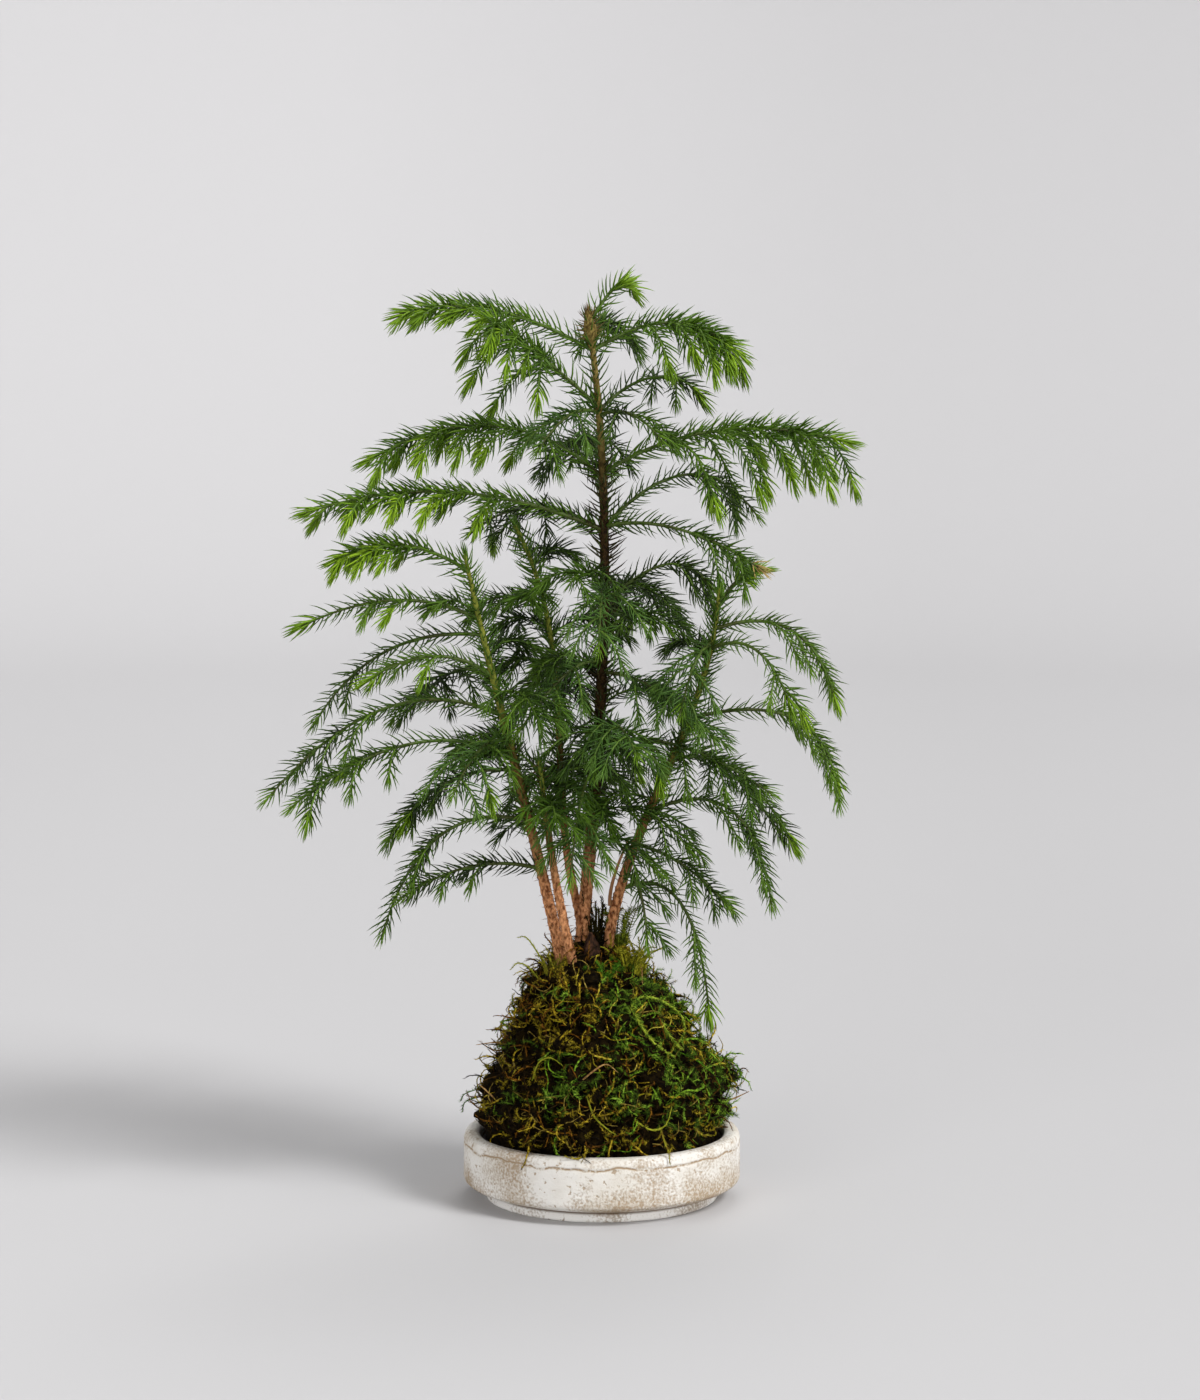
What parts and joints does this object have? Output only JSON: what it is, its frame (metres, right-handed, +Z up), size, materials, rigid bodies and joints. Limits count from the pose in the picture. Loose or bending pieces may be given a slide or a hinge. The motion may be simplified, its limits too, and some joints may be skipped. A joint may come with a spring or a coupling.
{
  "type": "potted norfolk island pine",
  "caption": "Young Norfolk island pine seedlings with drooping whorled boughs, in a moss-wrapped root ball on a round whitewashed saucer.",
  "frame": {"origin": "middle of the saucer's flat underside", "axes": "+X right and +Y away from the viewer of the picture, +Z up along the trunks"},
  "size_m": [0.27, 0.1666, 0.4151],
  "materials": {
    "whitewashed_clay": "matt, chalky",
    "moss": "rough, fibrous",
    "bark": "rough, scarred",
    "dead_bark": "rough",
    "needles": "satin",
    "young_needles": "satin",
    "bluish_needles": "satin"
  },
  "bodies": {
    "root": {"saucer": "whitewashed_clay", "root_ball": "moss", "old_stub": "dead_bark", "main_trunk": "bark", "outer_stem": "bark", "inner_stem": "bark", "middle_stem": "bark", "right_stem": "bark", "tier3_left_limb": "bark", "tier3_right_limb": "bark", "tier4_left_limb": "bark", "outer_left4_limb": "bark", "right_t5_limb": "bark", "tier3_left": "young_needles", "tier3_right": "young_needles", "tier4_left": "young_needles", "outer_left4": "needles", "right_t5": "needles", "tier1_left": "young_needles", "tier1_right": "young_needles", "leader": "young_needles", "tier1_back": "young_needles", "tier2_left": "young_needles", "tier2_front": "young_needles", "tier2_right": "young_needles", "tier2_back": "young_needles", "tier3_back": "young_needles", "tier4_right": "young_needles", "tier4_front": "young_needles", "tier4_back": "young_needles", "tier5_right": "needles", "tier5_front": "bluish_needles", "tier5_back": "needles", "tier6_left": "bluish_needles", "tier6_right": "bluish_needles", "tier6_back": "needles", "tier7_right": "bluish_needles", "tier7_front": "bluish_needles", "tier8_front": "bluish_needles", "tier7_back": "needles", "outer_left1": "needles", "outer_left2": "needles", "outer_low2": "needles", "outer_left3": "bluish_needles", "outer_back": "needles", "outer_left5": "bluish_needles", "outer_low5": "needles", "outer_left6": "needles", "outer_left7": "needles", "outer_front": "bluish_needles", "middle_left": "needles", "right_t7_front": "bluish_needles", "right_t1": "needles", "right_t2": "needles", "right_t2_front": "bluish_needles", "right_t3": "needles", "right_t2_left": "bluish_needles", "right_t4": "needles", "right_t6": "bluish_needles", "right_t7": "needles"}
  },
  "joints": []
}
